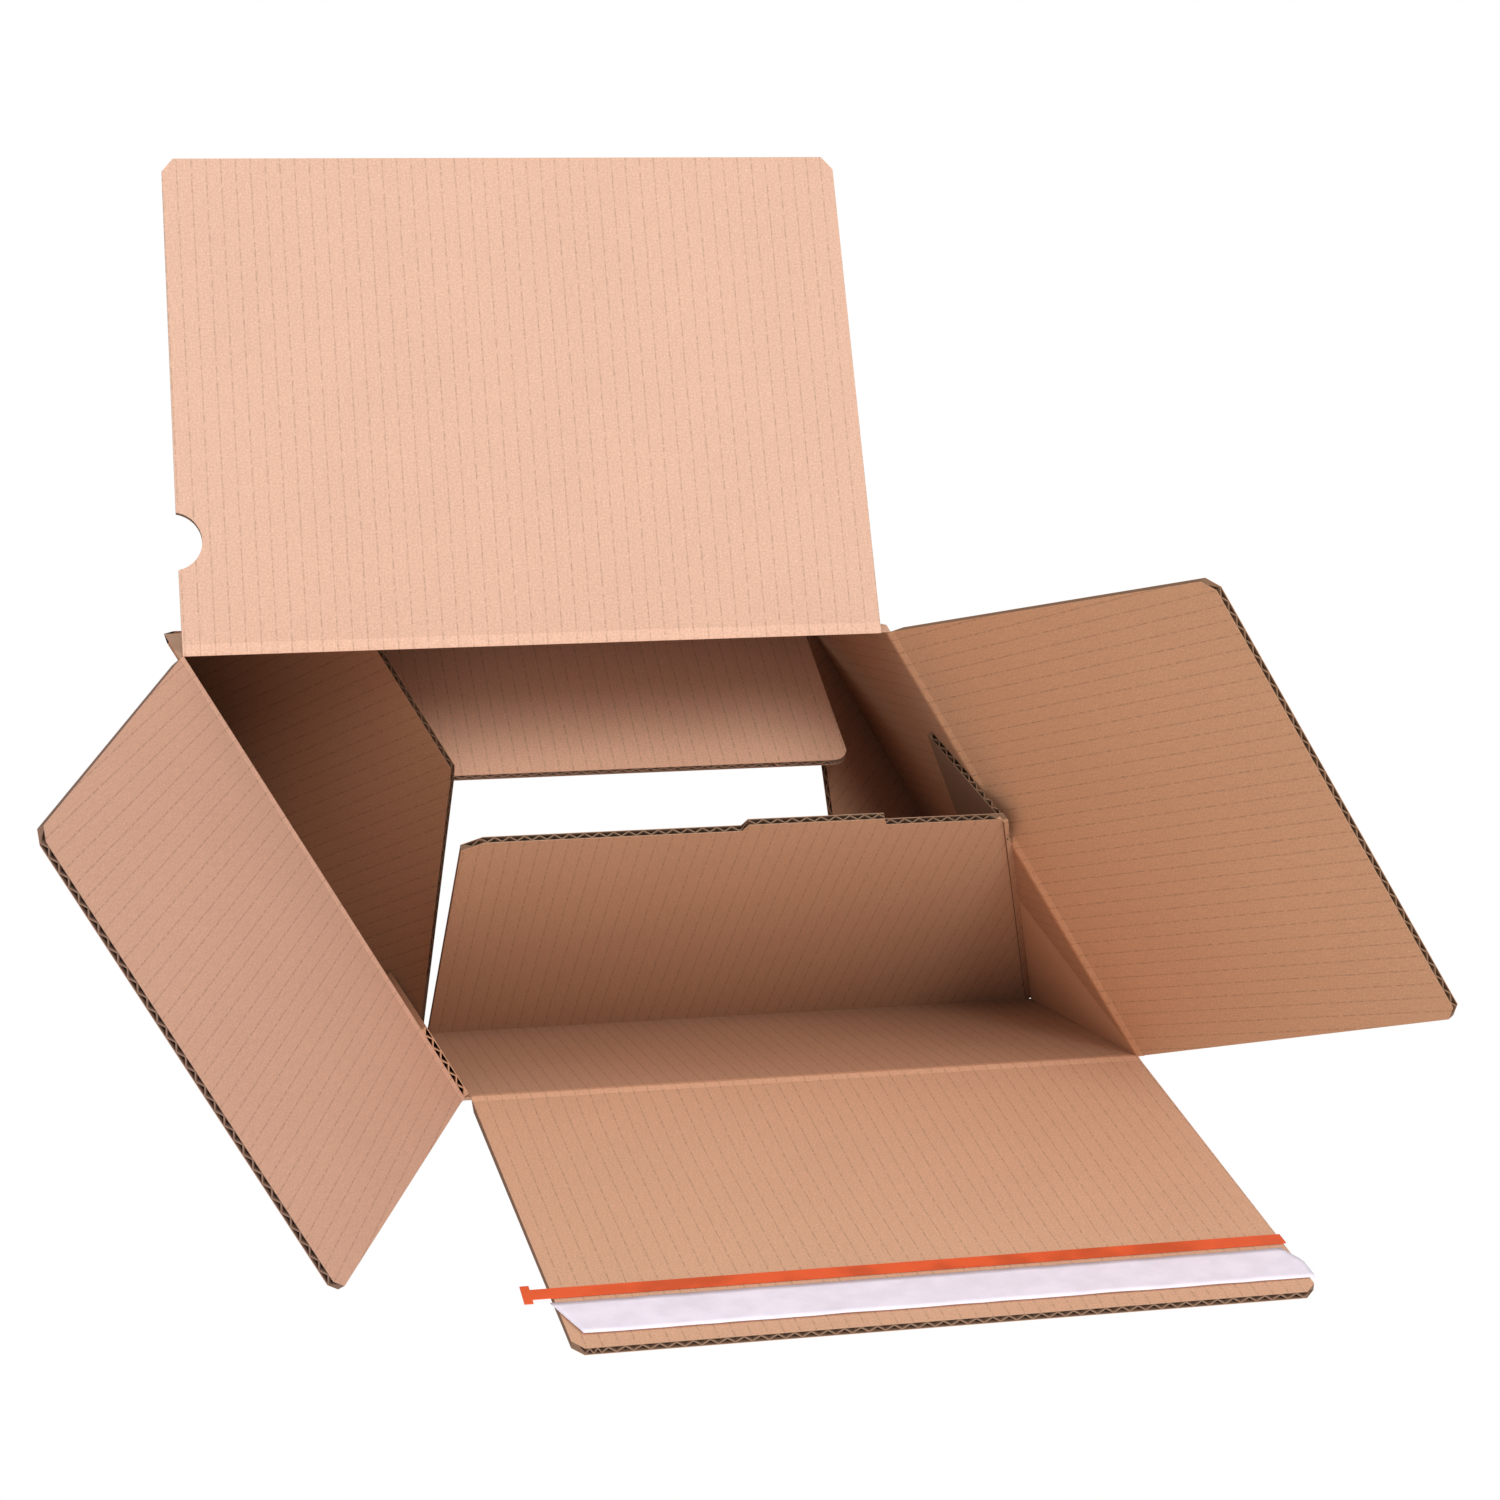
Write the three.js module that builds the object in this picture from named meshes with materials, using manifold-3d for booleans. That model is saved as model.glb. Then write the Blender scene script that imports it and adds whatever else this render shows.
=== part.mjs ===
// Crash lock box of corrugated board, half erected: a folded tube that leans 30 degrees out of square,
// its glued bottom flaps part way down, its four top flaps swung open.
// Millimetres, +Z up. The origin is the middle of the back wall's bottom fold, on the standing surface.
import * as THREE from "three";
import { mergeVertices } from "three/addons/utils/BufferGeometryUtils.js";
import Module from "manifold-3d";

const wasm = await Module();
wasm.setup();

// Tube, inside sizes
const boxLength = 305;          // along the front and back walls
const boxWidth = 225;           // along the side walls
const wallHeight = 165;         // bottom fold to top fold
const cornerAngle = 60;         // inside angle of the two glued corners, degrees: 90 when fully erected

// Corrugated board
const board = 3;                // thickness
const flutePitch = 6.4;         // one wave of the fluted sheet
const linerGauge = 0.4;         // each outer sheet
const mediumGauge = 0.45;       // the fluted sheet, measured along the board
const channelReach = 20;        // how far the flute channels are open behind a bottom flap's free edge

// Folds
const creaseRun = 9;            // the board thins towards a top fold over this distance
const creaseLip = 0.3;          // board left at the fold line itself
const hingeGap = 1.4;           // from the fold line to the flap's root: it clears the wall when it hangs
const headroom = 0.6;           // what stands above the rim keeps this far inside the wall planes
const restFacet = 12;           // half the angle of the flat under each bottom fold, degrees

// Top flaps: depth, and how far each is swung outwards from upright, degrees
const flapDepth = 225;
const backSwing = 108.7;
const frontSwing = 13.6;
const leftSwing = 19.5;
const rightSwing = 19.8;
const flapSlot = 3;             // cut between a main flap and its neighbour
const mainTaper = 1;            // how far a main flap narrows at each end
const sideTaper = 12;           // how far a side flap narrows at each end
const cornerCut = 5;            // small chamfers at the free corners, along the free edge
const cornerDrop = 6;           // the same chamfers, down the side

// Finger notch in the back flap's left edge
const notchRadius = 13;
const notchCentre = 50.5;       // from the fold
const notchInset = 2.5;         // the arc's centre lies this far outside the edge

// Closure on the front flap's inner face
const tearStart = 178.5;        // from the fold
const tearWidth = 7.5;
const tearGauge = 0.4;
const tearTabReach = 3.5;       // the pull tab stands this far past the flap's edge
const tearTabWidth = 14;
const linerStart = 190.5;
const linerWidth = 25;
const linerGap = 0.3;           // clearance that stands for the bond between touching layers
const linerThickness = 0.3;
const glueThickness = 0.3;
const glueInset = 3;            // the adhesive stops this far inside the liner's long edges
const linerOverhang = 6;        // the release liner runs past the flap's right edge
const linerShort = 2;           // and starts this far inside its left edge

// Bottom flaps
const frontRise = 59;           // elevation of the long front bottom flap, degrees
const frontDepth = 219;         // as deep as the box is wide
const lockTabRise = 6;          // raised middle of its free edge
const lockTabHalf = 30;
const lockTabSlant = 2;
const lockCorner = 9;           // chamfer at its left end
const lockCornerDrop = 7;
const backDepth = 108;
const backRound = 8;            // radius of its free corner
const sideDepth = 127;
const sideFoot = 116;           // run of the side flap's slanted edge along its fold
const glueTabReach = 100;       // triangular glue tabs under the front and left flaps
const glueTabStart = 6;         // they start this far from the corner
const coveredRun = 25;          // of a slanted edge near its corner, where other sheets cover its channels
const cornerRelief = 1.5;       // small opening at each bottom corner
const flapInset = 2.5;          // a bottom flap's root starts this far inside the corner
const foldOverlap = 0.6;        // flap board that runs back into its fold
const glueOverlap = 0.2;        // layers are one sheet where they are glued

// Overlap joint of the tube, inside the left wall at the front
const seamWidth = 35;
const seamDrop = 1.5;           // its top edge stays this far below the rim
const seamFoot = 6;             // and its bottom edge this far above the fold

const radians = Math.PI / 180;
const up = new THREE.Vector3(0, 0, 1);
const rim = board + wallHeight;

const kraft = { color: 0xb98f6d, roughness: 0.9, metalness: 0 };
const tearRed = { color: 0xd24a2c, roughness: 0.55, metalness: 0 };
const linerWhite = { color: 0xdcd6e4, roughness: 0.35, metalness: 0 };
const glueAmber = { color: 0xd9c9a0, roughness: 0.3, metalness: 0 };

// A geometry as a solid, and a solid as a geometry

function solidOf(geometry) {
  const bare = geometry.clone();
  bare.deleteAttribute("normal");
  bare.deleteAttribute("uv");
  const merged = mergeVertices(bare, 1e-4);
  return new wasm.Manifold(new wasm.Mesh({
    numProp: 3,
    vertProperties: new Float32Array(merged.attributes.position.array),
    triVerts: new Uint32Array(merged.index.array),
  }));
}

function geometryOf(solid) {
  const mesh = solid.getMesh();
  const geometry = new THREE.BufferGeometry();
  const places = new Float32Array(mesh.numVert * 3);
  for (let i = 0; i < mesh.numVert; i++) {
    for (let axis = 0; axis < 3; axis++) {
      places[i * 3 + axis] = mesh.vertProperties[i * mesh.numProp + axis];
    }
  }
  geometry.setAttribute("position", new THREE.BufferAttribute(places, 3));
  geometry.setIndex(new THREE.BufferAttribute(new Uint32Array(mesh.triVerts), 1));
  geometry.computeVertexNormals();
  return geometry;
}

const moved = (solid, matrix) => solid.transform([...matrix.elements]);

function extruded(shape, depth) {
  return new THREE.ExtrudeGeometry(shape, { depth, bevelEnabled: false, curveSegments: 12 });
}

function shapeOf(points) {
  return new THREE.Shape(points.map(([x, y]) => new THREE.Vector2(x, y)));
}

// Walls in order round the tube. Each has a start corner, a direction along and one outwards.

const cornerX = boxWidth * Math.cos(cornerAngle * radians);
const cornerY = boxWidth * Math.sin(cornerAngle * radians);
const corner = {
  backLeft: new THREE.Vector3(-boxLength / 2, 0, 0),
  backRight: new THREE.Vector3(boxLength / 2, 0, 0),
  frontLeft: new THREE.Vector3(-boxLength / 2 + cornerX, -cornerY, 0),
  frontRight: new THREE.Vector3(boxLength / 2 + cornerX, -cornerY, 0),
};

function wallFrame(start, end, length) {
  const along = end.clone().sub(start).normalize();
  return { start, end, length, along, outward: along.clone().cross(up) };
}

const wall = {
  front: wallFrame(corner.frontLeft, corner.frontRight, boxLength),
  right: wallFrame(corner.frontRight, corner.backRight, boxWidth),
  back: wallFrame(corner.backRight, corner.backLeft, boxLength),
  left: wallFrame(corner.backLeft, corner.frontLeft, boxWidth),
};

// Plan outline of the tube, offset outwards by a distance

function tubeOutline(offset) {
  const order = [wall.front, wall.right, wall.back, wall.left];
  return order.map((side, i) => {
    const before = order[(i + 3) % 4];
    const bisector = side.outward.clone().add(before.outward);
    const reach = offset / (1 + side.outward.dot(before.outward));
    return [side.start.x + bisector.x * reach, side.start.y + bisector.y * reach];
  });
}

// A loft between plan outlines at rising heights, closed at both ends

function loftedSolid(levels) {
  const places = [];
  const faces = [];
  for (const { outline, z } of levels) {
    for (const [x, y] of outline) places.push(x, y, z);
  }
  const count = levels[0].outline.length;
  for (let level = 0; level < levels.length - 1; level++) {
    for (let i = 0; i < count; i++) {
      const a = level * count + i;
      const b = level * count + (i + 1) % count;
      faces.push(a, b, b + count, a, b + count, a + count);
    }
  }
  const top = (levels.length - 1) * count;
  for (let i = 1; i < count - 1; i++) {
    faces.push(0, i + 1, i, top, top + i, top + i + 1);
  }
  const geometry = new THREE.BufferGeometry();
  geometry.setAttribute("position", new THREE.BufferAttribute(new Float32Array(places), 3));
  geometry.setIndex(faces);
  return solidOf(geometry);
}

function tubeWalls() {
  const shell = loftedSolid([
    { outline: tubeOutline(board), z: board },
    { outline: tubeOutline(board), z: rim - creaseRun },
    { outline: tubeOutline(creaseLip), z: rim },
  ]);
  const hollow = loftedSolid([
    { outline: tubeOutline(0), z: 0 },
    { outline: tubeOutline(0), z: rim + board },
  ]);
  return shell.subtract(hollow);
}

// Corrugated board: a sheet with two rows of channels, left between its liners by the fluted sheet.
// In a sheet's own axes s runs across the flutes, d along them and t through the thickness.

function channels(from, to, start, end) {
  const low = linerGauge;
  const high = board - linerGauge;
  const foot = flutePitch / 2 - mediumGauge;
  const sections = [];
  for (let wave = Math.ceil(from / flutePitch); (wave + 1) * flutePitch <= to; wave++) {
    const crest = (wave + 0.5) * flutePitch;
    sections.push(shapeOf([[crest - foot, low], [crest + foot, low], [crest, high - mediumGauge]]));
    const trough = crest + flutePitch / 2;
    if (trough + foot > to) continue;
    sections.push(shapeOf([[trough - foot, high], [trough + foot, high], [trough, low + mediumGauge]]));
  }
  // Drawn in s and t and extruded along d
  const laid = new THREE.Matrix4().set(1, 0, 0, 0, 0, 0, 1, start, 0, 1, 0, 0, 0, 0, 0, 1);
  return moved(solidOf(extruded(sections, end - start)), laid);
}

// A sheet cut to an outline. Between two values of s its channels run from beyond the crushed fold to the
// free edge, or only over a reach behind that edge.

function flutedSheet(outline, channelFrom, channelTo, depth, reach = depth) {
  const sheet = solidOf(extruded(outline, board));
  const cutter = solidOf(extruded(outline, board + 2)).translate([0, 0, -1]);
  const open = channels(channelFrom, channelTo, creaseRun + 1, depth + 1);
  if (reach === depth) return sheet.subtract(open);
  return sheet.subtract(open.intersect(cutter.subtract(cutter.translate([0, -reach, 0]))));
}

// Top flaps: s along the fold, d away from it, t from the inner face outwards. Each is described by its
// two ends along the fold, how far it narrows at each of them, and whether the finger notch is cut.

function topFlap({ left, right, taper, notched }) {
  const sheet = flutedSheet(flapOutline(left, right, taper, notched), left + taper, right - taper, flapDepth);
  const slope = (board - creaseLip) / (creaseRun - hingeGap);
  const wedge = shapeOf([
    [-1, creaseLip], [0, creaseLip], [creaseRun, creaseLip + creaseRun * slope],
    [creaseRun, board * 3], [-1, board * 3],
  ]);
  // Drawn in d and t and extruded along s
  const laid = new THREE.Matrix4().set(0, 0, 1, left - 1, 1, 0, 0, hingeGap, 0, 1, 0, 0, 0, 0, 0, 1);
  return geometryOf(sheet.subtract(moved(solidOf(extruded(wedge, right - left + 2)), laid)));
}

function flapMatrix(side, swing) {
  const depthWay = up.clone().multiplyScalar(Math.cos(swing * radians))
    .addScaledVector(side.outward, Math.sin(swing * radians));
  const through = side.along.clone().cross(depthWay);
  return new THREE.Matrix4().makeBasis(side.along, depthWay, through)
    .setPosition(side.start.x, side.start.y, rim);
}

function flapOutline(left, right, taper, notched) {
  const shape = new THREE.Shape();
  shape.moveTo(left, hingeGap);
  shape.lineTo(right, hingeGap);
  if (notched) {
    const reach = Math.sqrt(notchRadius ** 2 - notchInset ** 2);
    const turn = Math.atan2(reach, -notchInset);
    shape.lineTo(right, notchCentre - reach);
    shape.absarc(right + notchInset, notchCentre, notchRadius, -turn, turn, true);
  }
  shape.lineTo(right - taper, flapDepth - cornerDrop);
  shape.lineTo(right - taper - cornerCut, flapDepth);
  shape.lineTo(left + taper + cornerCut, flapDepth);
  shape.lineTo(left + taper, flapDepth - cornerDrop);
  shape.closePath();
  return shape;
}

// Bottom flaps: s runs back from the wall's end corner, d up the flap, t from the upper face down

function bottomMatrix(side, rise) {
  const depthWay = up.clone().multiplyScalar(Math.sin(rise * radians))
    .addScaledVector(side.outward, -Math.cos(rise * radians));
  const backwards = side.along.clone().negate();
  return new THREE.Matrix4().makeBasis(backwards, depthWay, backwards.clone().cross(depthWay))
    .setPosition(side.end.x, side.end.y, board);
}

// The round of board under a bottom fold, with a flat where it stands

function bottomFold(side, rise) {
  const end = -90 - rise;
  const angles = [8, -26, -52, -90 + restFacet, -90 - restFacet, (-90 - restFacet + end) / 2, end];
  const points = [[0, 0]];
  for (const angle of angles) {
    const onFlat = Math.abs(angle + 90) === restFacet;
    const radius = onFlat ? board / Math.cos(restFacet * radians) : board;
    points.push([radius * Math.cos(angle * radians), radius * Math.sin(angle * radians)]);
  }
  const round = solidOf(extruded(shapeOf(points), side.length - 2 * cornerRelief));
  const placed = new THREE.Matrix4().makeBasis(side.outward, up, side.along.clone().negate())
    .setPosition(
      side.end.x - side.along.x * cornerRelief,
      side.end.y - side.along.y * cornerRelief,
      board,
    );
  return moved(round, placed);
}

function bottomFlap(side, rise, outline, channelFrom, channelTo, depth) {
  return moved(flutedSheet(outline, channelFrom, channelTo, depth, channelReach), bottomMatrix(side, rise));
}

// Rise of the other bottom flaps: the diagonal crease at 45 degrees sets it from the corner angle
const glueRise = Math.acos(Math.tan(cornerAngle / 2 * radians)) / radians;

// Where a flap's plane meets the next wall, as run along the fold for each unit of depth
const meetRun = (rise) => Math.cos(rise * radians) / Math.tan(cornerAngle * radians);

const frontMeet = frontDepth * meetRun(frontRise);
const middle = boxLength / 2;

function frontBottomShape() {
  const top = frontDepth + lockTabRise;
  return shapeOf([
    [flapInset, -foldOverlap], [boxLength - flapInset, -foldOverlap], [boxLength, frontDepth - lockCornerDrop],
    [boxLength - lockCorner, frontDepth], [middle + lockTabHalf + lockTabSlant, frontDepth],
    [middle + lockTabHalf, top], [middle - lockTabHalf, top],
    [middle - lockTabHalf - lockTabSlant, frontDepth], [frontMeet, frontDepth],
  ]);
}

function backBottomShape() {
  const shape = new THREE.Shape();
  shape.moveTo(flapInset, -foldOverlap);
  shape.lineTo(boxLength - flapInset, -foldOverlap);
  shape.lineTo(boxLength, backDepth - backRound);
  shape.absarc(boxLength - backRound, backDepth - backRound, backRound, 0, Math.PI / 2, false);
  shape.lineTo(backDepth, backDepth);
  shape.closePath();
  return shape;
}

const leftMeet = sideDepth * meetRun(glueRise);

function leftBottomShape() {
  return shapeOf([
    [flapInset, -foldOverlap], [boxWidth - flapInset, -foldOverlap], [boxWidth - leftMeet, sideDepth],
    [sideFoot, sideDepth], [sideFoot - cornerDrop, sideDepth - cornerDrop],
  ]);
}

// The right flap shows only up to its diagonal crease: its slanted edge reaches the crease at this depth
const rightPeak = boxWidth / (1 + (sideFoot - cornerDrop) / (sideDepth - cornerDrop));

function rightBottomShape() {
  return shapeOf([
    [flapInset, -foldOverlap], [boxWidth - flapInset, -foldOverlap], [boxWidth - rightPeak, rightPeak],
  ]);
}

// A triangular tab glued under a flap, beside the corner the flap shares with the tab's own wall

function glueTab(side, rise, cornerAt, way) {
  const outline = shapeOf([
    [cornerAt + way * glueTabStart, glueTabStart / 2], [cornerAt + way * glueTabReach, glueTabStart / 2],
    [cornerAt + way * glueTabReach, glueTabReach],
  ]);
  const sheet = solidOf(extruded(outline, board + glueOverlap)).translate([0, 0, board - glueOverlap]);
  return moved(sheet, bottomMatrix(side, rise));
}

// The front flap's right wing, creased where the flap meets the right wall and folded back against it.
// The crease runs from the corner at the angle below; the wing keeps the flap's own free edge and side.

function wingSheet() {
  const outline = shapeOf([[0, 1], [frontMeet, frontDepth], [0, frontDepth]]);
  const sheet = flutedSheet(outline, 0, frontMeet, frontDepth, channelReach);
  const creaseLength = Math.hypot(frontMeet, frontDepth);
  // The crease in the flap's axes s and d, and on the wall in its axes along and up
  const inFlap = new THREE.Vector2(frontMeet, frontDepth).divideScalar(creaseLength);
  const onWall = new THREE.Vector2(
    frontDepth * Math.cos(frontRise * radians) / Math.sin(cornerAngle * radians),
    frontDepth * Math.sin(frontRise * radians),
  ).divideScalar(creaseLength);
  const side = wall.right;
  const creaseWay = side.along.clone().multiplyScalar(onWall.x).addScaledVector(up, onWall.y);
  const acrossWay = side.along.clone().multiplyScalar(onWall.y).addScaledVector(up, -onWall.x);
  const sWay = creaseWay.clone().multiplyScalar(inFlap.x).addScaledVector(acrossWay, -inFlap.y);
  const dWay = creaseWay.clone().multiplyScalar(inFlap.y).addScaledVector(acrossWay, inFlap.x);
  const placed = new THREE.Matrix4().makeBasis(sWay, dWay, sWay.clone().cross(dWay))
    .setPosition(
      side.start.x + side.outward.x * glueOverlap,
      side.start.y + side.outward.y * glueOverlap,
      board,
    );
  return moved(sheet, placed);
}

// The tube's overlap: a strip of the sheet inside the left wall, at the front

function seamSheet() {
  const side = wall.left;
  const height = wallHeight - seamFoot - seamDrop;
  const outline = shapeOf([[0, 0], [seamWidth, 0], [seamWidth, height], [0, height]]);
  const backwards = side.along.clone().negate();
  const placed = new THREE.Matrix4().makeBasis(backwards, up, backwards.clone().cross(up))
    .setPosition(
      side.end.x + side.outward.x * glueOverlap,
      side.end.y + side.outward.y * glueOverlap,
      board + seamFoot,
    );
  return moved(flutedSheet(outline, 0, seamWidth, height, channelReach), placed);
}

// Flaps and glued sheets reach into the walls by the glue overlap, and keep inside them above the rim

function insideSpace() {
  return loftedSolid([
    { outline: tubeOutline(glueOverlap), z: -board },
    { outline: tubeOutline(glueOverlap), z: rim - glueOverlap },
    { outline: tubeOutline(-headroom), z: rim - glueOverlap / 2 },
    { outline: tubeOutline(-headroom), z: 2 * rim },
  ]);
}

function boxBody() {
  const folds = [
    bottomFold(wall.front, frontRise),
    ...[wall.right, wall.back, wall.left].map((side) => bottomFold(side, glueRise)),
  ];
  const sheets = [
    seamSheet(),
    bottomFlap(wall.front, frontRise, frontBottomShape(), frontMeet, boxLength, frontDepth + lockTabRise),
    bottomFlap(wall.back, glueRise, backBottomShape(), backDepth, boxLength, backDepth),
    bottomFlap(wall.left, glueRise, leftBottomShape(), coveredRun, boxWidth - leftMeet, sideDepth),
    bottomFlap(wall.right, glueRise, rightBottomShape(), 0, boxWidth - rightPeak, sideDepth),
    glueTab(wall.front, frontRise, 0, 1),
    glueTab(wall.left, glueRise, boxWidth, -1),
    wingSheet(),
  ].map((sheet) => sheet.intersect(insideSpace()));
  return [...folds, ...sheets].reduce((body, piece) => body.add(piece), tubeWalls());
}

function meshOf(name, geometry, look) {
  const mesh = new THREE.Mesh(geometry, new THREE.MeshStandardMaterial({ ...look, flatShading: true }));
  mesh.name = name;
  return mesh;
}

// Each top flap lies in a group at its own fold

function flapGroup(side, swing, meshes) {
  const group = new THREE.Group();
  flapMatrix(side, swing).decompose(group.position, group.quaternion, group.scale);
  group.add(...meshes);
  return group;
}

// A flat strip on the front flap's inner face, from one s to another and one d to another

function strip(points, gauge, lift) {
  return extruded(shapeOf(points), gauge).translate(0, 0, -lift - gauge);
}

function tearStripGeometry(left, right) {
  const tabStart = tearStart + tearWidth / 2 - tearTabWidth / 2;
  const tabEnd = tabStart + tearTabWidth;
  const points = [
    [left - tearTabReach, tabStart], [left, tabStart], [left, tearStart], [right, tearStart],
    [right, tearStart + tearWidth], [left, tearStart + tearWidth], [left, tabEnd],
    [left - tearTabReach, tabEnd],
  ];
  return strip(points, tearGauge, linerGap);
}

function band(left, right, from, to) {
  return [[left, from], [right, from], [right, to], [left, to]];
}

const glueBand = band(
  flapSlot + linerShort * 2, boxLength - linerShort * 2,
  linerStart + glueInset, linerStart + linerWidth - glueInset,
);
const linerBand = band(flapSlot + linerShort, boxLength + linerOverhang, linerStart, linerStart + linerWidth);

const mainFlap = { left: flapSlot, right: boxLength, taper: mainTaper, notched: false };
const sideFlap = { left: 0, right: boxWidth, taper: sideTaper, notched: false };

const box = new THREE.Group();
box.add(
  meshOf("box_body", geometryOf(boxBody()), kraft),
  flapGroup(wall.back, backSwing, [meshOf("back_flap", topFlap({ ...mainFlap, notched: true }), kraft)]),
  flapGroup(wall.left, leftSwing, [meshOf("left_flap", topFlap(sideFlap), kraft)]),
  flapGroup(wall.right, rightSwing, [meshOf("right_flap", topFlap(sideFlap), kraft)]),
  flapGroup(wall.front, frontSwing, [
    meshOf("front_flap", topFlap(mainFlap), kraft),
    meshOf("tear_strip", tearStripGeometry(flapSlot, boxLength), tearRed),
    meshOf("adhesive_strip", strip(glueBand, glueThickness, linerGap), glueAmber),
    meshOf("release_liner", strip(linerBand, linerThickness, 2 * linerGap + glueThickness), linerWhite),
  ]),
);

export default box;
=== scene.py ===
import math

import bpy
import numpy as np
from mathutils import Matrix, Vector


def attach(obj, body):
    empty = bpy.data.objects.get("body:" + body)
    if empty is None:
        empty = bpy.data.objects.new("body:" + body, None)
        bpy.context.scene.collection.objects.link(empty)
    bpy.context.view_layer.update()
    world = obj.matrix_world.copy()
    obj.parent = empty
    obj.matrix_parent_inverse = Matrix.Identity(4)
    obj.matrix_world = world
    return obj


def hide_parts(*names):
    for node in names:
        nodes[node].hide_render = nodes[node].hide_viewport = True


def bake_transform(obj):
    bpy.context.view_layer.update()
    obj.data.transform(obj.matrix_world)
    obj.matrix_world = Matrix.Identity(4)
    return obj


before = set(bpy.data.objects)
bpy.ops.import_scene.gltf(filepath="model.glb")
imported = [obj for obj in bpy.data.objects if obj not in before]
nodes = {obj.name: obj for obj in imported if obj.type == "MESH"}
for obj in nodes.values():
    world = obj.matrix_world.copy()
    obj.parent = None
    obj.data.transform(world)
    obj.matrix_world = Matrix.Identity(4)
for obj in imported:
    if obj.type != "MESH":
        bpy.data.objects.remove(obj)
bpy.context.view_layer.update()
print("frame loaded")

# Sizes in millimetres, as in the part: the tube, and how its flaps stand. Rises are up from the ground,
# swings are outwards from upright.
tube = {"length": 305.0, "width": 225.0, "board": 3.0, "rim": 168.0, "corner": math.radians(60)}
rises = {"front": math.radians(59), "other": math.acos(math.tan(math.radians(30)))}
swings = {"back": 108.7, "front": 13.6, "left": 19.5, "right": 19.8}
flapDepth = 225
frontDepth = 219  # the long front bottom flap, without its lock tab
flute = 6.4
up = np.array([0.0, 0.0, 1.0])

cornerX = tube["width"] * math.cos(tube["corner"])
cornerY = tube["width"] * math.sin(tube["corner"])
backLeft = np.array([-tube["length"] / 2, 0, 0])
backRight = np.array([tube["length"] / 2, 0, 0])
frontLeft = backLeft + [cornerX, -cornerY, 0]
frontRight = backRight + [cornerX, -cornerY, 0]
ends = {
    "front": (frontLeft, frontRight), "right": (frontRight, backRight),
    "back": (backRight, backLeft), "left": (backLeft, frontLeft),
}
sides = {}
for name, (start, end) in ends.items():
    along = (end - start) / np.linalg.norm(end - start)
    sides[name] = {
        "start": start, "end": end, "along": along, "outward": np.cross(along, up),
        "length": float(np.linalg.norm(end - start)),
    }


# A sheet's axes: across the flutes, along them and through the board, with its reach along the first two
def plane(origin, across, depth, reach, tint, smooth=0.0):
    return {
        "origin": origin, "axes": np.array([across, depth, np.cross(across, depth)]),
        "reach": reach, "smooth": smooth, "tint": np.array(tint),
    }


# A wall: along its bottom fold, and straight up from there
def wallPlane(name, tint):
    side, height = sides[name], tube["rim"] - tube["board"]
    return plane(side["start"] + up * tube["board"], side["along"], up, (side["length"], height), tint)


# A bottom flap: back along its fold, and inwards at its rise
def bottomPlane(name, rise, depth, tint):
    side = sides[name]
    run = up * math.sin(rise) - side["outward"] * math.cos(rise)
    return plane(side["end"] + up * tube["board"], -side["along"], run, (side["length"], depth), tint)


# The front bottom flap's wing, which lies on the right wall: the flap's own axes, turned about the slanted
# crease that both share, so that the flutes run on over it. The crease is known in the flap and on the wall.
def wingPlane(tint):
    side = sides["right"]
    meet, depth = frontDepth * math.cos(rises["front"]) / math.tan(tube["corner"]), frontDepth
    creaseLength = math.hypot(meet, depth)
    inFlap = np.array([meet, depth]) / creaseLength
    onWall = np.array([
        depth * math.cos(rises["front"]) / math.sin(tube["corner"]), depth * math.sin(rises["front"]),
    ]) / creaseLength
    fold = side["along"] * onWall[0] + up * onWall[1]
    beside = side["along"] * onWall[1] - up * onWall[0]
    across = fold * inFlap[0] - beside * inFlap[1]
    run = fold * inFlap[1] + beside * inFlap[0]
    return plane(side["start"] + up * tube["board"], across, run, (meet, depth), tint, smooth=1.0)


# A top flap: along its fold, and away from it at its swing
def flapPlane(name, tint):
    side, swing = sides[name], math.radians(swings[name])
    run = up * math.cos(swing) + side["outward"] * math.sin(swing)
    return plane(side["start"] + up * tube["rim"], side["along"], run, (side["length"], flapDepth), tint)


# How far a face may lie outside a sheet and still be its own, and the tint of the sides that the photo hides
reach = {"slack": 0.3, "before": 1, "past": 7, "order": 0.01}
outsideTint = (1.02, 0.97, 0.9)


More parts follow.
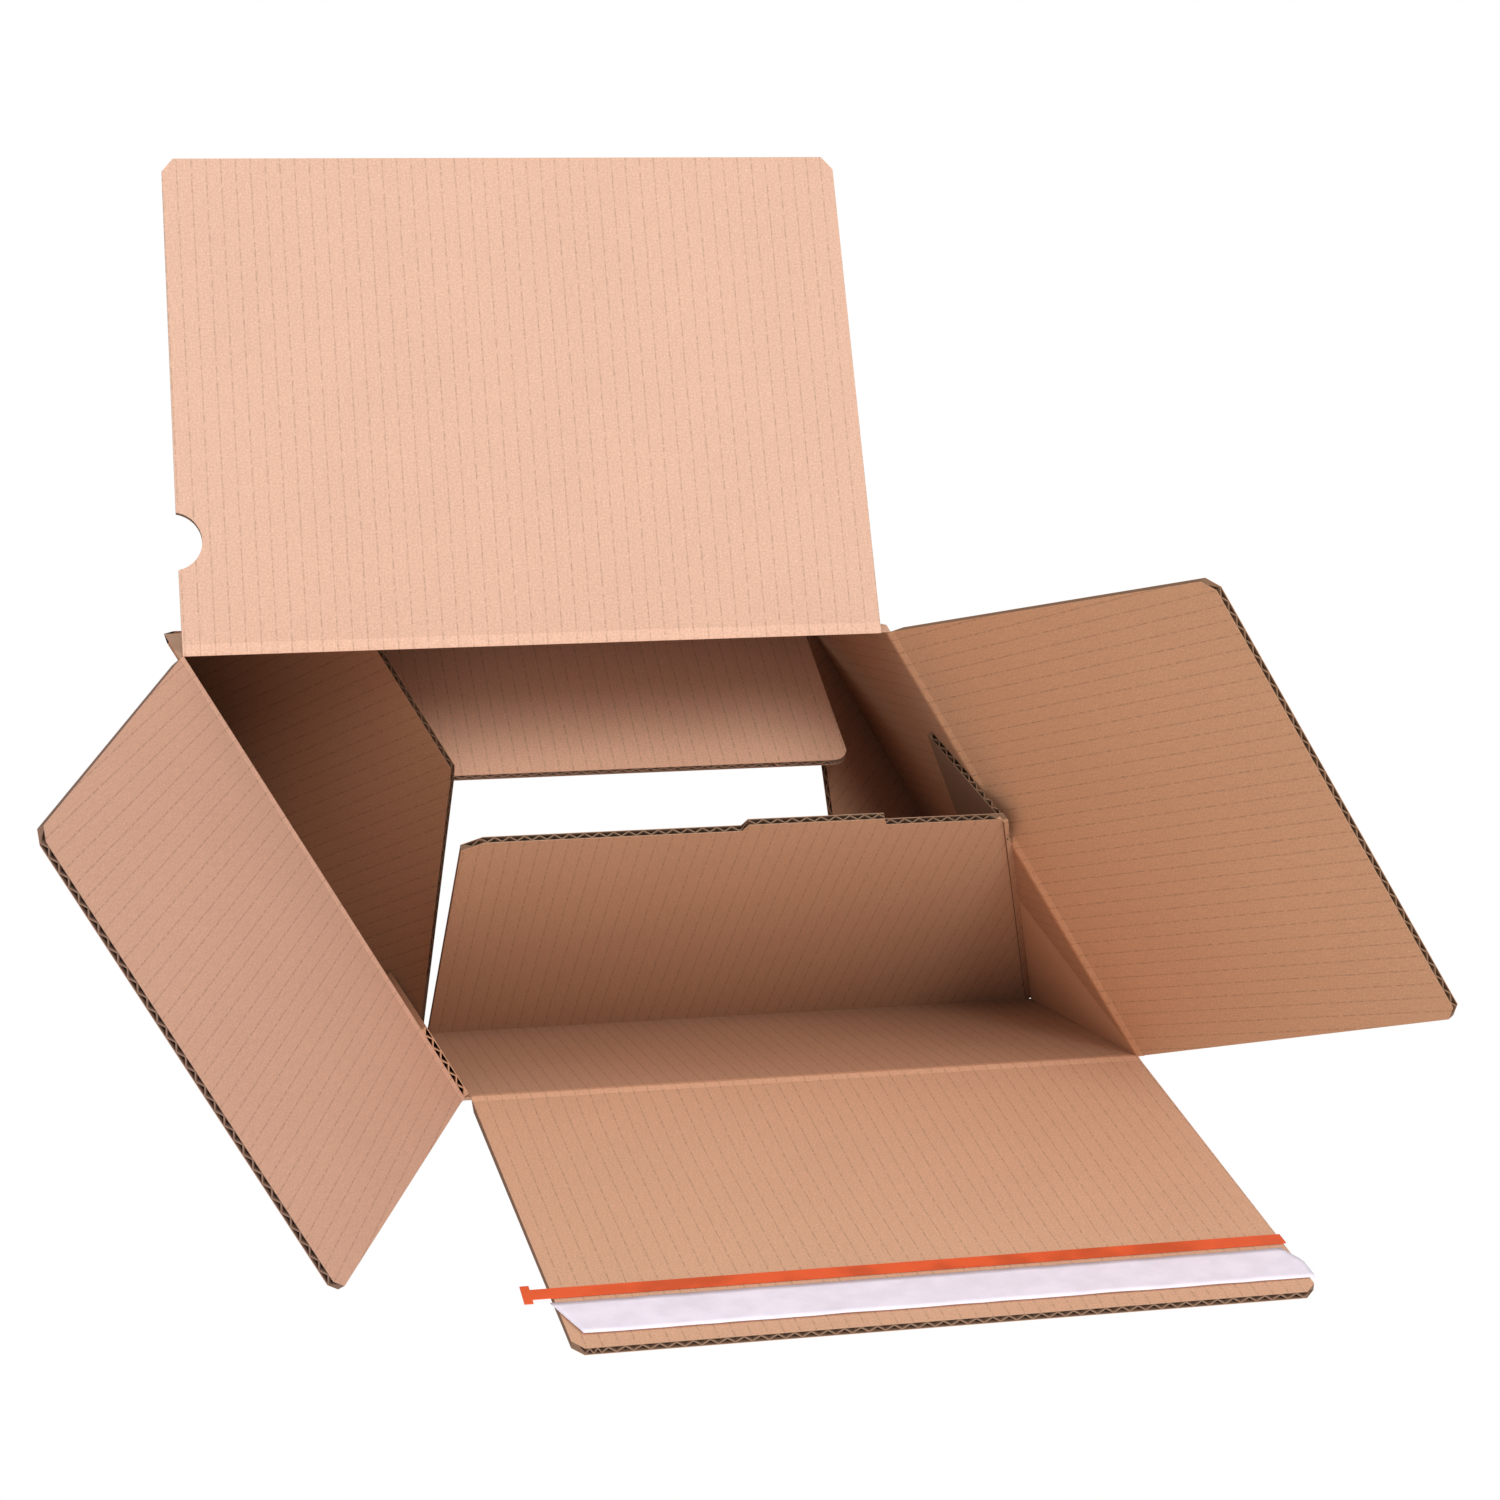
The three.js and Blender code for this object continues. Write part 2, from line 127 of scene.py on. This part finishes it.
# Gives each face the sheet it belongs to, as its place in that sheet's axes, its tint with the painted shade
# and light it holds, and its smoothness.
# A face goes to the sheet it lies least outside of, in millimetres, less how squarely it faces that sheet.
# It comes before any change of form, so that the two liners stay at 0 and 3 through the board.
def placeOnSheets(mesh, planes):
    count = len(mesh.polygons)
    centres, normals, totals = np.empty(count * 3), np.empty(count * 3), np.empty(count, int)
    mesh.polygons.foreach_get("center", centres)
    mesh.polygons.foreach_get("normal", normals)
    mesh.polygons.foreach_get("loop_total", totals)
    centres, normals = centres.reshape(-1, 3) * 1000, normals.reshape(-1, 3)
    scores = np.empty((len(planes), count))
    for i, sheet in enumerate(planes):
        local = (centres - sheet["origin"]) @ sheet["axes"].T
        through = local[:, 2]
        beyond = np.maximum(0, -through - reach["slack"])
        beyond += np.maximum(0, through - tube["board"] - reach["slack"])
        for axis in (0, 1):
            beyond += np.maximum(0, -local[:, axis] - reach["before"])
            beyond += np.maximum(0, local[:, axis] - sheet["reach"][axis] - reach["past"])
        scores[i] = beyond - np.abs(normals @ sheet["axes"][2]) + i * reach["order"]
    chosen = scores.argmin(axis=0)
    axes = np.array([sheet["axes"] for sheet in planes])[chosen]
    origins = np.array([sheet["origin"] for sheet in planes])[chosen]
    tint = np.array([sheet["tint"] for sheet in planes], float)[chosen]
    smooth = np.array([sheet["smooth"] for sheet in planes], float)[chosen]
    loops, points = np.empty(len(mesh.loops), int), np.empty(len(mesh.vertices) * 3)
    mesh.loops.foreach_get("vertex_index", loops)
    mesh.vertices.foreach_get("co", points)
    owner = np.repeat(np.arange(count), totals)
    place = np.einsum("kij,kj->ki", axes[owner], points.reshape(-1, 3)[loops] * 1000 - origins[owner])
    facing = np.einsum("ij,ij->i", normals, axes[:, 2])
    # Faces that look outwards take the plain outside tint, without painted shade
    tint[(facing > 0.5) & (smooth == 0)] = outsideTint
    # The board thinned beside a top fold keeps its outer liner: it looks outwards and has a corner at 3
    furthest = np.zeros(count)
    np.maximum.at(furthest, owner, place[:, 2])
    place[((furthest > 2.95) & (facing > 0.9))[owner], 2] = tube["board"]
    mesh.attributes.new("sheetPlace", "FLOAT_VECTOR", "CORNER").data.foreach_set("vector", place.ravel())
    mesh.attributes.new("sheetTintAndShade", "FLOAT_VECTOR", "FACE").data.foreach_set("vector", tint.ravel())
    mesh.attributes.new("sheetSmooth", "FLOAT", "FACE").data.foreach_set("value", smooth)


# Materials

# A node with its settings and sockets: a socket is named, or i and its number, and takes a link or a value
def add(tree, kind, settings=None, **sockets):
    node = tree.nodes.new(kind)
    for key, value in (settings or {}).items():
        setattr(node, key, value)
    for key, value in sockets.items():
        target = node.inputs[int(key[1:])] if key[0] == "i" and key[1:].isdigit() else node.inputs[key]
        if isinstance(value, bpy.types.NodeSocket):
            tree.links.new(value, target)
        else:
            target.default_value = value
    return node


def calc(tree, operation, first, second=0.0):
    return add(tree, "ShaderNodeMath", {"operation": operation}, i0=first, i1=second).outputs[0]


# A smooth change from one value to another while the input goes from low to high
def step(tree, value, low, high, toLow=0.0, toHigh=1.0):
    node = add(tree, "ShaderNodeMapRange", {"interpolation_type": "SMOOTHSTEP"}, Value=value)
    for socket, number in zip(("From Min", "From Max", "To Min", "To Max"), (low, high, toLow, toHigh)):
        node.inputs[socket].default_value = number
    return node.outputs[0]


def noise(tree, vector, scale, detail=2.0):
    return add(tree, "ShaderNodeTexNoise", Vector=vector, Scale=scale, Detail=detail).outputs["Fac"]


def attribute(tree, name, output):
    return add(tree, "ShaderNodeAttribute", {"attribute_name": name}).outputs[output]


def multiplied(tree, first, second):
    settings = {"data_type": "RGBA", "blend_type": "MULTIPLY"}
    return add(tree, "ShaderNodeMix", settings, i0=1.0, i6=first, i7=second).outputs[2]


def bumped(tree, height, distance, strength):
    return add(tree, "ShaderNodeBump", Height=height, Distance=distance, Strength=strength).outputs[0]


# Corrugated board. Shades are parts of its colour, depths are millimetres.
board = {
    "colour": (0.66, 0.405, 0.285, 1), "roughness": 0.82, "specular": 0.25, "bump": 0.6,
    # The cut shade darkens the cut edges by the cut paper's darker tone and by painted shade in the flute
    # channels
    # The line shade is painted shade in the sunken lines between the flute tips
    "sunkenLineShade": 0.24, "speckShade": 0.2, "cutToneAndChannelShade": 0.38,
    "rippleDepth": 0.035, "fibreDepth": 0.05, "lineDepth": 0.05,
}


# Shade and height of the board from its place on the sheet, in millimetres
def patternGroup():
    tree = bpy.data.node_groups.new("boardPattern", "ShaderNodeTree")
    for name, kind in (("Shade", "Float"), ("Height", "Float"), ("Tint", "Color")):
        tree.interface.new_socket(name, in_out="OUTPUT", socket_type="NodeSocket" + kind)
    place = attribute(tree, "sheetPlace", "Vector")
    plain = calc(tree, "SUBTRACT", 1.0, attribute(tree, "sheetSmooth", "Fac"))
    across, depth, through = add(tree, "ShaderNodeSeparateXYZ", Vector=place).outputs
    # Liner faces lie at 0 and 3 through the board; cut edges and flute channels lie between
    liner = step(tree, calc(tree, "ABSOLUTE", calc(tree, "SUBTRACT", through, 1.5)), 1.3, 1.45)
    # Lines where the liner sinks between the flute tips, one for each flute
    wave = calc(tree, "DIVIDE", across, flute)
    offset = calc(tree, "ABSOLUTE", calc(tree, "SUBTRACT", calc(tree, "FRACT", wave), 0.5))
    line = step(tree, offset, 0.025, 0.07, 1.0, 0.0)
    # The lines break into dashes: noise per line that changes along the flutes
    whichLine, alongLine = calc(tree, "FLOOR", wave), calc(tree, "MULTIPLY", depth, 0.28)
    dashPlace = add(tree, "ShaderNodeCombineXYZ", X=whichLine, Y=alongLine).outputs[0]
    dash = step(tree, noise(tree, dashPlace, 1.0, 3.0), 0.4, 0.58, 0.15, 1.0)
    sunkenLines = calc(tree, "MULTIPLY", calc(tree, "MULTIPLY", line, dash), calc(tree, "MULTIPLY", liner, plain))
    # Paper: fine fibres, slow clouds, grain along the flutes and a few pale specks
    fibre = noise(tree, place, 1.1, 4.0)
    cloud = noise(tree, place, 0.02, 2.0)
    stretched = add(tree, "ShaderNodeMapping", Vector=place, Scale=(1.5, 0.12, 1.0)).outputs[0]
    grain = noise(tree, stretched, 1.0, 2.0)
    speck = step(tree, noise(tree, place, 0.9, 0.0), 0.78, 0.84)
    shade = step(tree, fibre, 0.25, 0.75, 0.88, 1.1)
    shade = calc(tree, "ADD", shade, step(tree, cloud, 0.2, 0.8, -0.015, 0.015))
    shade = calc(tree, "ADD", shade, step(tree, grain, 0.3, 0.7, -0.03, 0.03))
    shade = calc(tree, "ADD", shade, calc(tree, "MULTIPLY", speck, board["speckShade"]))
    # Painted shade in the sunken lines
    shade = calc(tree, "SUBTRACT", shade, calc(tree, "MULTIPLY", sunkenLines, board["sunkenLineShade"]))
    # Cut edges and flute channels are darker: the cut paper's darker tone, with painted shade in the flute
    # channels
    shade = calc(tree, "MULTIPLY", shade, step(tree, liner, 0, 1, board["cutToneAndChannelShade"], 1.0))
    # The liner follows the flutes a little: a cosine of the wave, left out on the smooth side
    ripple = calc(tree, "COSINE", calc(tree, "MULTIPLY", wave, 2 * math.pi))
    height = calc(tree, "MULTIPLY", calc(tree, "MULTIPLY", ripple, plain), board["rippleDepth"])
    height = calc(tree, "ADD", height, calc(tree, "MULTIPLY", fibre, board["fibreDepth"]))
    height = calc(tree, "SUBTRACT", height, calc(tree, "MULTIPLY", sunkenLines, board["lineDepth"]))
    add(tree, "NodeGroupOutput", Shade=shade, Height=height, Tint=attribute(tree, "sheetTintAndShade", "Color"))
    return tree


def material(name, roughness, colour=(1, 1, 1, 1)):
    made = bpy.data.materials.new(name)
    made.use_nodes = True
    shader = made.node_tree.nodes["Principled BSDF"]
    shader.inputs["Base Color"].default_value = colour
    shader.inputs["Roughness"].default_value = roughness
    return made, made.node_tree, shader


kraft, tree, shader = material("kraftBoard", board["roughness"])
pattern = add(tree, "ShaderNodeGroup", {"node_tree": patternGroup()})
tone = multiplied(tree, board["colour"], pattern.outputs["Shade"])
# The sheet's tint, painted shade and light included, multiplies the board's tone
tree.links.new(multiplied(tree, tone, pattern.outputs["Tint"]), shader.inputs["Base Color"])
tree.links.new(bumped(tree, pattern.outputs["Height"], 0.001, board["bump"]), shader.inputs["Normal"])
shader.inputs["Specular IOR Level"].default_value = board["specular"]

tearRed, tree, shader = material("tearRed", 0.5)
place = add(tree, "ShaderNodeTexCoord").outputs["Object"]
smear = step(tree, noise(tree, place, 60.0), 0.35, 0.65, 0.85, 1.1)
tree.links.new(multiplied(tree, (0.78, 0.11, 0.03, 1), smear), shader.inputs["Base Color"])

linerPaper, tree, shader = material("linerPaper", 0.35)
place = add(tree, "ShaderNodeTexCoord").outputs["Object"]
cloud = step(tree, noise(tree, place, 90.0, 3.0), 0.3, 0.7, 0.94, 1.03)
tree.links.new(multiplied(tree, (0.93, 0.88, 1.0, 1), cloud), shader.inputs["Base Color"])
tree.links.new(bumped(tree, noise(tree, place, 160.0), 0.0004, 0.5), shader.inputs["Normal"])

glue = material("glue", 0.2, (0.75, 0.65, 0.45, 1))[0]
print("materials made")


def pieceOf(name, mesh, look):
    mesh.materials.clear()
    mesh.materials.append(look)
    piece = bpy.data.objects.new(name, mesh)
    bpy.context.collection.objects.link(piece)
    return piece


# Moves all points of a mesh by a function that works in millimetres
def reshape(mesh, form):
    points = np.empty(len(mesh.vertices) * 3)
    mesh.vertices.foreach_get("co", points)
    mesh.vertices.foreach_set("co", (form(points.reshape(-1, 3) * 1000) / 1000).ravel())
    mesh.update()


# Board pieces: the part's own shapes, with each face placed on its sheet and tinted as that sheet shows.
# A tint holds painted shade and painted light as well as the sheet's colour: painted shade darkens the inner
# walls and most bottom flaps, and painted light lightens the back bottom flap.
# Inner wall tints: the board's colour darkened by painted shade, most on the back wall
wallTintsAndShade = {
    "front": (0.88, 0.86, 0.79), "right": (0.74, 0.65, 0.54),
    "back": (0.62, 0.55, 0.45), "left": (0.78, 0.7, 0.6),
}
# Top flap tints: the board's colour with painted light on the back and front flaps and painted shade on the
# left and right ones
flapTintsAndShade = {
    "back": (1.01, 1.02, 1.04), "left": (0.95, 0.89, 0.88),
    "right": (0.95, 0.84, 0.68), "front": (1.05, 1.0, 0.91),
}
boardPieces = {
    "box_body": ("carton", [
        # The wing and the front, left and right bottom flaps are darkened by painted shade, and the back
        # bottom flap is lightened by painted light
        wingPlane((0.96, 0.9, 0.77)),
        bottomPlane("front", rises["front"], 225, (0.9, 0.89, 0.8)),
        bottomPlane("back", rises["other"], 108, (1.33, 1.31, 1.26)),
        bottomPlane("left", rises["other"], 127, (0.66, 0.56, 0.45)),
        bottomPlane("right", rises["other"], 118, (0.78, 0.68, 0.58)),
        *[wallPlane(name, tint) for name, tint in wallTintsAndShade.items()],
    ]),
    **{name + "_flap": (name + "_flap", [flapPlane(name, tint)]) for name, tint in flapTintsAndShade.items()},
}
frontFlap = flapPlane("front", flapTintsAndShade["front"])

# The sharp corners of the leaning tube: their tips, 6 out, come in to a board's radius and a bit
wallTip = {"from": 5, "to": 7, "out": 3.6}
# The front flap's worn corner: how deep it starts, over what depth it grows, how far it comes in, and how
# far into the flap the board closes up with it
wornCorner = {"depth": 190, "over": 35, "inwards": 11, "reach": 24, "closing": 21}


# Each tip's points slide along the line midway between the two walls that meet there
def tuckedTips(points):
    for side, before in (("right", "front"), ("left", "back")):
        corner = sides[side]["start"]
        way = sides[side]["outward"] + sides[before]["outward"]
        way /= np.linalg.norm(way)
        out = (points - corner) @ way
        away = np.linalg.norm((points - corner)[:, :2], axis=1)
        tip = (out > wallTip["from"]) & (away > wallTip["from"]) & (away < wallTip["to"])
        points[tip] -= np.outer(out[tip] - wallTip["out"], way)
    return points


# The shift is a ramp along the flap's depth times a ramp that falls to nothing inside its left edge
def slantedEdge(points):
    place = (points - frontFlap["origin"]) @ frontFlap["axes"].T
    grown = np.clip((place[:, 1] - wornCorner["depth"]) / wornCorner["over"], 0, 1)
    closing = np.clip((wornCorner["reach"] - place[:, 0]) / wornCorner["closing"], 0, 1)
    return points + np.outer(closing * grown * wornCorner["inwards"], frontFlap["axes"][0])


forms = {"box_body": tuckedTips, "front_flap": slantedEdge}
for name, (body, planes) in boardPieces.items():
    mesh = nodes[name].data.copy()
    placeOnSheets(mesh, planes)
    if name in forms:
        reshape(mesh, forms[name])
    piece = pieceOf(name + "_board", mesh, kraft)
    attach(piece, body)
    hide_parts(name)

# The release liner, a thin band that waves a little and ends just past the flap's right edge. Its left end
# slants, and its right end is cut back on the side nearer the fold.
band = {
    "from": 190.5, "to": 215.5, "left": 9.0, "slant": 9.0, "right": 306.0, "cut": 5, "cutFall": 2.2,
    "lift": 0.95, "skin": 0.25, "wave": 0.12, "alongSteps": 120, "depthSteps": 8,
}


# A grid of two shares, 0 to 1 along and 0 to 1 deep, each stretched between the band's edges
def bandPlace():
    alongShare, depthShare = np.meshgrid(
        np.linspace(0, 1, band["alongSteps"] + 1), np.linspace(0, 1, band["depthSteps"] + 1),
    )
    leftEdge = band["left"] + band["slant"] * depthShare
    rightEdge = band["right"] - band["cut"] * np.clip(1 - depthShare * band["cutFall"], 0, 1)
    across = leftEdge + (rightEdge - leftEdge) * alongShare
    depth = band["from"] + (band["to"] - band["from"]) * depthShare
    # Waves of a tenth of a millimetre, from three sines of unlike lengths
    wave = np.sin(across / 11)
    wave += np.sin(across / 4.7 + depth / 6) * 0.6
    wave += np.sin(depth / 3.1 + across / 29) * 0.5
    rise = np.abs(wave * band["wave"])
    return np.stack([across, depth, -band["lift"] - rise], axis=-1).reshape(-1, 3)


place = bandPlace()
top = (place @ frontFlap["axes"] + frontFlap["origin"]) / 1000
under = ((place + [0, 0, band["skin"]]) @ frontFlap["axes"] + frontFlap["origin"]) / 1000
count = len(top)
grid = np.arange(count).reshape(band["depthSteps"] + 1, band["alongSteps"] + 1)
topFaces = np.stack([grid[:-1, :-1], grid[:-1, 1:], grid[1:, 1:], grid[1:, :-1]], axis=-1).reshape(-1, 4)
edge = np.concatenate([grid[0], grid[1:, -1], grid[-1, -2::-1], grid[-2:0:-1, 0]])
ahead = np.roll(edge, -1)
edgeFaces = np.stack([edge, edge + count, ahead + count, ahead], axis=1)
faces = np.concatenate([topFaces, topFaces[:, [0, 3, 2, 1]] + count, edgeFaces])
mesh = bpy.data.meshes.new("liner_band")
mesh.from_pydata(np.concatenate([top, under]).tolist(), [], faces.tolist())
mesh.polygons.foreach_set("use_smooth", np.ones(len(faces), bool))
linerBand = pieceOf("liner_band", mesh, linerPaper)
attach(linerBand, "front_flap")
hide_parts("release_liner")

glueEnd = {"within": 50, "inwards": 13}


# The adhesive's left end keeps behind the liner's slanted one
def shortenedEnd(points):
    left = (points - frontFlap["origin"]) @ frontFlap["axes"][0] < glueEnd["within"]
    points[left] += frontFlap["axes"][0] * glueEnd["inwards"]
    return points


mesh = nodes["adhesive_strip"].data.copy()
reshape(mesh, shortenedEnd)
adhesive = pieceOf("adhesive_band", mesh, glue)
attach(adhesive, "front_flap")
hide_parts("adhesive_strip")

# The tear tape is the part's own piece
nodes["tear_strip"].data.materials.clear()
nodes["tear_strip"].data.materials.append(tearRed)
print("board pieces made")

# Top folds: a skin of liner that runs from each wall over the fold onto its flap
crease = {
    "down": 5.0, "over": 5.0, "round": 0.12, "clear": 0.05, "swell": 0.35, "skin": 0.45, "steps": 12,
    "lighter": 1.1, "ease": 1.5, "startAt": {"back": 3, "front": 3},
}


# A profile carried straight along the fold. Its middle line is a quadratic curve from down the wall to along
# the flap, with its control point at the fold line, drawn most of the way in to the two straight faces.
# The inner side swells by a squared sine; the outer side keeps a skin's thickness behind the line.
def creaseSkin(name, tint):
    side, swing = sides[name], math.radians(swings[name])
    run = np.array([math.sin(swing), math.cos(swing)])
    share = np.linspace(0, 1, crease["steps"] + 1)
    begin, finish = np.array([0.0, -crease["down"]]), run * crease["over"]
    curve = np.outer((1 - share) ** 2, begin) + np.outer(share ** 2, finish)
    onWall, onFlap = np.outer(1 - 2 * share, begin), np.outer(2 * share - 1, finish)
    straight = np.where((share < 0.5)[:, None], onWall, onFlap)
    line = curve * crease["round"] + straight * (1 - crease["round"])
    slope = np.gradient(line, axis=0)
    slope /= np.linalg.norm(slope, axis=1)[:, None]
    normal = np.stack([-slope[:, 1], slope[:, 0]], axis=1)
    lift = crease["clear"] + crease["swell"] * np.sin(share * math.pi) ** 2
    ring = np.concatenate([line + normal * lift[:, None], (line - normal * crease["skin"])[::-1]])
    base = side["start"] + up * tube["rim"]
    section = base + np.outer(ring[:, 0], side["outward"]) + np.outer(ring[:, 1], up)
    first = crease["startAt"].get(name, 0)
    points = np.concatenate([section + side["along"] * station for station in (first, side["length"])])
    index = np.arange(len(ring))
    ahead, far = np.roll(index, -1), len(ring)
    faces = np.stack([index, ahead, ahead + far, index + far], axis=1).tolist()
    faces += [index[::-1].tolist(), (index + far).tolist()]
    mesh = bpy.data.meshes.new(name + "_crease")
    mesh.from_pydata((points / 1000).tolist(), [], faces)
    placeOnSheets(mesh, [wallPlane(name, tint), flapPlane(name, tint)])
    # The skin takes its flap's tint, painted shade and light included, made a tenth lighter
    tintsAndShades = np.tile(np.array(tint) * crease["lighter"], len(mesh.polygons))
    mesh.attributes["sheetTintAndShade"].data.foreach_set("vector", tintsAndShades)
    skin = pieceOf(name + "_crease", mesh, kraft)
    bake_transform(skin)


for name in sides:
    creaseSkin(name, flapTintsAndShade[name])
print("creases made")

# Light: a bright even surround, dimmer from below, and one broad lamp from behind and above
light = {"sky": 0.98, "floor": 0.42, "lamp": 1.15, "from": (0.15, 0.4, 0.9), "spread": 24}
world = bpy.data.worlds.new("surround")
bpy.context.scene.world = world
world.use_nodes = True
tree = world.node_tree
tree.nodes.clear()
direction = add(tree, "ShaderNodeTexCoord").outputs["Generated"]
height = add(tree, "ShaderNodeSeparateXYZ", Vector=direction).outputs["Z"]
level = step(tree, height, -0.25, 0.25, light["floor"], light["sky"])
surround = add(tree, "ShaderNodeBackground", Color=(0.985, 0.99, 1.0, 1), Strength=level)
white = add(tree, "ShaderNodeBackground", Color=(1, 1, 1, 1), Strength=1.0)
seen = add(tree, "ShaderNodeLightPath").outputs["Is Camera Ray"]
mixed = add(tree, "ShaderNodeMixShader", i0=seen, i1=surround.outputs[0], i2=white.outputs[0])
add(tree, "ShaderNodeOutputWorld", Surface=mixed.outputs[0])

lamp = bpy.data.objects.new("lamp", bpy.data.lights.new("lamp", "SUN"))
lamp.data.energy = light["lamp"]
lamp.data.angle = math.radians(light["spread"])
lamp.rotation_euler = Vector(light["from"]).to_track_quat("Z", "Y").to_euler()
bpy.context.collection.objects.link(lamp)

# Camera, fitted to the folds in the photo: image right, image down and the way it looks
view = {
    "right": (0.97828, -0.02221, 0.20609), "down": (-0.03989, -0.99583, 0.08202),
    "ahead": (0.20341, -0.08846, -0.97509), "eye": (-0.1960, 0.0750, 1.5369), "lens": 77.27, "sensor": 36,
}
camera = bpy.data.objects.new("camera", bpy.data.cameras.new("camera"))
camera.data.sensor_width = view["sensor"]
camera.data.lens = view["lens"]
turn = np.array([view["right"], np.negative(view["down"]), np.negative(view["ahead"])]).T
camera.matrix_world = Matrix.Translation(view["eye"]) @ Matrix(turn.tolist()).to_4x4()
bpy.context.collection.objects.link(camera)
bpy.context.scene.camera = camera

bpy.context.scene.view_settings.view_transform = "Standard"
print("light and camera made")
